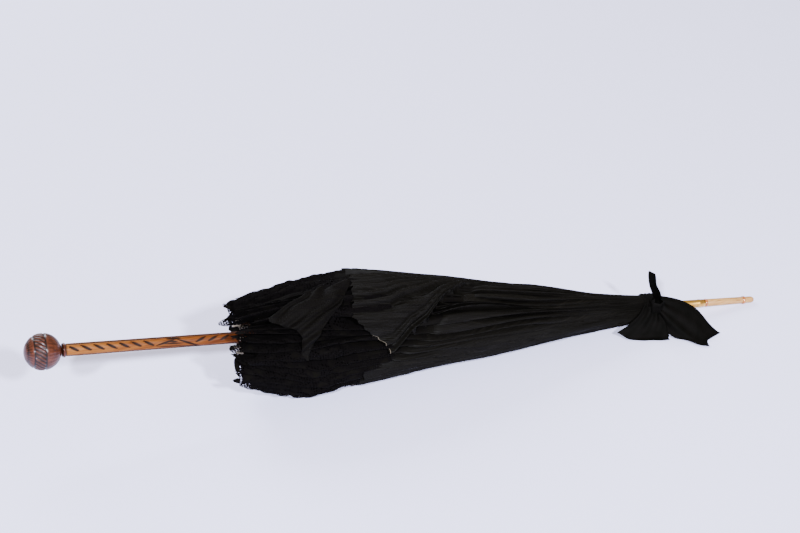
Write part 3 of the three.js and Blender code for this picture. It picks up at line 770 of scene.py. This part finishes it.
for k in (2, 3, 4):
    across = np.linspace(0, 1, 181)[None, :]
    degrees = np.degrees(rib_step * (k - 0.5 + across))
    down = np.linspace(0, 1, 90)[:, None]
    near_end = np.interp(degrees, tongue_near[:, 0], tongue_near[:, 1])
    far_end = np.interp(degrees, tongue_far[:, 0], tongue_far[:, 1])
    x = near_end + (far_end - near_end) * down
    angle = rib_step * (k - 0.5 + across) + 0 * x
    fold_phase = (np.degrees(angle) + 0.62 * (x + 392)) / 13 + 0.3 * lump(x * 2, angle * 2)
    edge_roll = np.exp(-((1 - down) / 0.10) ** 2) + np.exp(-(down / 0.10) ** 2)
    radius = bundle_radius(x, angle) + 1.2 + 1.7 * np.cos(2 * math.pi * fold_phase) - 1.5 * edge_roll
    radius += 0.9 * lump(x * 3, angle * 3)
    keep = (degrees[:, :-1] > tongue_from) & (degrees[:, 1:] < tongue_to) & (down[:-1] >= 0)
    piece, used = cloth_mesh(f"silk_tongue_{k}", place(x, angle, radius), cut_weave(x, across), keep)
    coat(piece, silk)
    follow_ribs(piece, k)

# ---------------------------------------------------------------- ribbon bow
# Black taffeta ribbon tied round the neck: a wrapped band with its knot, a wide tail with a
# fishtail end over the ferrule, a flat loop and a small upright loop.


def spread(net, rows, columns):
    """A smooth grid of points through a net of control points (millimetres from the hinge)."""
    net = np.array(net, float)
    for count in (rows, columns):
        stations = np.linspace(0, len(net) - 1, count)
        low = np.clip(np.floor(stations).astype(int), 0, len(net) - 2)
        t = (stations - low)[:, None, None]
        before, start = net[np.maximum(low - 1, 0)], net[low]
        end, after = net[low + 1], net[np.minimum(low + 2, len(net) - 1)]
        net = 0.5 * (2 * start + (end - before) * t + (2 * before - 5 * start + 4 * end - after) * t ** 2
                     + (3 * start - before - 3 * end + after) * t ** 3)
        net = net.transpose(1, 0, 2)
    return net


def sheet_normals(points):
    down, side = np.gradient(points, axis=0), np.gradient(points, axis=1)
    normal = np.cross(down, side)
    return normal / np.maximum(np.linalg.norm(normal, axis=-1, keepdims=True), 1e-9)


def ribbon_piece(name, points, flat, node=None):
    """A ribbon sheet from points in millimetres from the hinge."""
    rows, columns = points.shape[:2]
    side, length = np.meshgrid(np.linspace(0, flat[0], columns), np.linspace(0, flat[1], rows))
    metres = settle(points * mm + np.array(hinge), 0.4, 4.0)
    piece, used = cloth_mesh(name, metres, np.stack([side, length], -1))
    coat(piece, taffeta)
    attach(piece, "root")
    if node:
        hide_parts(node)
    return piece


# Ribbed silk taffeta: black with a dull shine, its fine cross ribs drawn 1.8 mm apart to show
taffeta, taffeta_shader = new_material(
    "black_taffeta_ribbon", Roughness=0.7, Specular_IOR_Level=0.02)
taffeta_weave = add_node(taffeta, "ShaderNodeUVMap", uv_map="weave").outputs["UV"]
ribs = add_node(taffeta, "ShaderNodeTexWave", {"Scale": 170, "Distortion": 0.5, "Detail": 2}, {
    "Vector": taffeta_weave}, bands_direction="Y")
wear = add_node(taffeta, "ShaderNodeTexNoise", {"Scale": 70, "Detail": 4}, {"Vector": taffeta_weave})
join(taffeta, ramp(taffeta, wear.outputs["Fac"], [(0.3, "030302"), (0.7, "070605")]),
     taffeta_shader.inputs["Base Color"])
taffeta_bump = add_node(taffeta, "ShaderNodeBump", {"Strength": 0.25, "Distance": 0.0003}, {
    "Height": ribs.outputs["Fac"]})
join(taffeta, taffeta_bump.outputs["Normal"], taffeta_shader.inputs["Normal"])

# The wrapped band, gathered into ridges
wrap_turn, wrap_side = np.meshgrid(np.linspace(0, 2 * math.pi, 161), np.linspace(0, 1, 41))
wrap_radius = 15.6 + 1.4 * np.cos(2 * math.pi * 4.5 * wrap_side + 0.7 * np.sin(2 * wrap_turn))
wrap_radius += 4 * np.exp(-((np.degrees(wrap_turn) - 185) / 50) ** 2) - 2 * (2 * wrap_side - 1) ** 6
band = (place(3 + 24 * wrap_side, wrap_turn, wrap_radius) - np.array(hinge)) / mm
ribbon_piece("ribbon_band_wrapped", band, (0.125, 0.034), "ribbon_band")

# The tail over the ferrule, with a fishtail cut
tail_net = [
    [(16, -8, 15), (16, -15, 13), (16, -21, 7), (17, -22, 0)],
    [(24, -8, 16.5), (22, -17, 14), (20, -26, 6), (17, -30, -5)],
    [(38, -11, 13.5), (33, -24, 9), (26, -36, -1), (20, -41, -14)],
    [(54, -19, 9), (45, -36, 2), (36, -50, -10), (27, -52, -20)],
    [(67, -32, 2), (56, -47, -7), (46, -61, -18), (38, -62, -21)],
    [(77, -49, -12), (63, -61, -18), (52, -71, -21.5), (47, -76, -21.5)],
    [(86, -59, -21), (66, -68, -21), (61, -72, -21.5), (58, -83, -21.5)],
]
tail = spread(tail_net, 90, 61)
tail_down, tail_side = np.linspace(0, 1, 90)[:, None], np.linspace(0, 1, 61)[None, :]
gathers = 2.2 * np.exp(-tail_down * 2.4) * np.sin(2 * math.pi * (3.6 * tail_side + 0.5 * tail_down))
gathers += 0.9 * np.sin(2 * math.pi * (1.4 * tail_side - 1.1 * tail_down) + 1)
tail = tail + sheet_normals(tail) * gathers[..., None]
ribbon_piece("ribbon_tail_fishtail", tail, (0.046, 0.095), "ribbon_tail")

# The flat loop, out over the near side and back underneath
loop_net = [
    [(2, -14, 10), (9, -19, 9), (16, -21, 6), (21, -21, 2)],
    [(-8, -22, 3), (2, -26, 1), (13, -31, -2), (23, -34, -7)],
    [(-22, -26, -5), (-9, -32, -9), (7, -38, -12), (22, -44, -16)],
    [(-35, -26, -12), (-21, -36, -17), (0, -43, -19), (20, -50, -21)],
    [(-38, -26, -14), (-25, -38.5, -20.5), (-3, -46, -21), (20, -53, -21.5)],
    [(-34, -24, -15.5), (-21, -33, -21.5), (0, -41, -21.5), (18, -48, -21.5)],
    [(-18, -22, -12), (-7, -28, -15), (6, -34, -18), (17, -40, -20.5)],
    [(0, -18, -2), (7, -22, -5), (13, -25, -9), (19, -29, -13)],
]
loop = spread(loop_net, 120, 51)
loop_down, loop_side = np.linspace(0, 1, 120)[:, None], np.linspace(0, 1, 51)[None, :]
loop_folds = 1.9 * (1 - 0.8 * np.sin(math.pi * loop_down))
loop_folds = loop_folds * np.sin(2 * math.pi * 3.5 * loop_side + 3 * loop_down)
loop_folds = loop_folds + 0.8 * np.sin(2 * math.pi * (loop_side + 0.9 * loop_down))
loop = loop + sheet_normals(loop) * loop_folds[..., None]
ribbon_piece("ribbon_loop_folded", loop, (0.046, 0.105), "ribbon_loop")

# The small upright loop: its two sides touch at the top and part below
strap_path = [(19, 15), (17.5, 20), (15.5, 25), (13.3, 31), (11.8, 38), (11, 46), (11.4, 51), (13, 51.6),
              (14.2, 46), (15, 38), (17.5, 32), (20.5, 26), (22, 20), (22.5, 15)]
strap_net = [
    [(x + 0.4 * side, -15 + 0.1 * z - 1.1 * side, z) for side in (-4, -1.5, 1, 4)] for x, z in strap_path]
strap = spread(strap_net, 120, 17)
ribbon_piece("ribbon_strap_upright", strap, (0.010, 0.082), "ribbon_strap")

# The rosette: a small silk frill round the stick, under the band, cut as long as its outer edge
frill_turn, frill_out = np.meshgrid(np.linspace(0, 2 * math.pi, 241), np.linspace(0, 1, 13))
frill = (place(9 + 2.6 * frill_out * np.sin(14 * frill_turn), frill_turn, 7 + 6 * frill_out)
         - np.array(hinge)) / mm
rosette = ribbon_piece("silk_rosette", frill, (0.082, 0.010), "top_rosette")
coat(rosette, silk)

# The knot: a padded fold of ribbon over the band on the near side
knot_side, knot_turn = np.meshgrid(np.linspace(-1, 1, 41), np.linspace(0, 2 * math.pi, 81))
knot_bulge = np.sqrt(np.clip(1 - 0.62 * knot_side ** 4, 0, 1))
knot_bulge = knot_bulge * (1 + 0.10 * np.cos(5 * knot_turn + 2 * knot_side))
knot = np.stack([
    16 + 8.5 * knot_bulge * np.cos(knot_turn),
    -21 + 6 * knot_bulge * np.sin(knot_turn) - 3.5 * knot_side,
    8 + 11 * knot_side + 2 * np.sin(knot_turn)], -1)
ribbon_piece("ribbon_knot", knot, (0.05, 0.026))

# ---------------------------------------------------------------- floor and light
# A plain pale floor, two lights in front, a broad soft one behind, and a bright warm room.

bpy.ops.object.select_all(action="DESELECT")
bpy.ops.mesh.primitive_plane_add(size=14, location=(0, 2, 0))
floor = bpy.context.object
floor.name = "floor"
paper, paper_shader = new_material("pale_paper_floor", Roughness=0.9)
paper_shader.inputs["Base Color"].default_value = linear("e0e0ff")
coat(floor, paper)

for name, spot, aim, size, power in (
    ("light_front", (0.24, -4.83, 3.15), (0, 0, 0.05), 0.3, 800),
    ("light_front_left", (-2.48, -4.19, 3.15), (0, 0, 0.05), 0.3, 800),
    ("light_back", (-0.6, 3.2, 2.2), (-0.3, 1.0, 0), 2.0, 190),
):
    bpy.ops.object.light_add(type="AREA", location=spot)
    light = bpy.context.object
    light.name = name
    light.data.size = size
    light.data.energy = power
    light.data.color = linear("ecf0ff")[:3]
    light.rotation_euler = (Vector(aim) - Vector(spot)).to_track_quat("-Z", "Y").to_euler()

world = bpy.data.worlds.new("pale_room")
world.use_nodes = True
world.node_tree.nodes["Background"].inputs["Color"].default_value = linear("fff0dc")
world.node_tree.nodes["Background"].inputs["Strength"].default_value = 0.64
bpy.context.scene.world = world
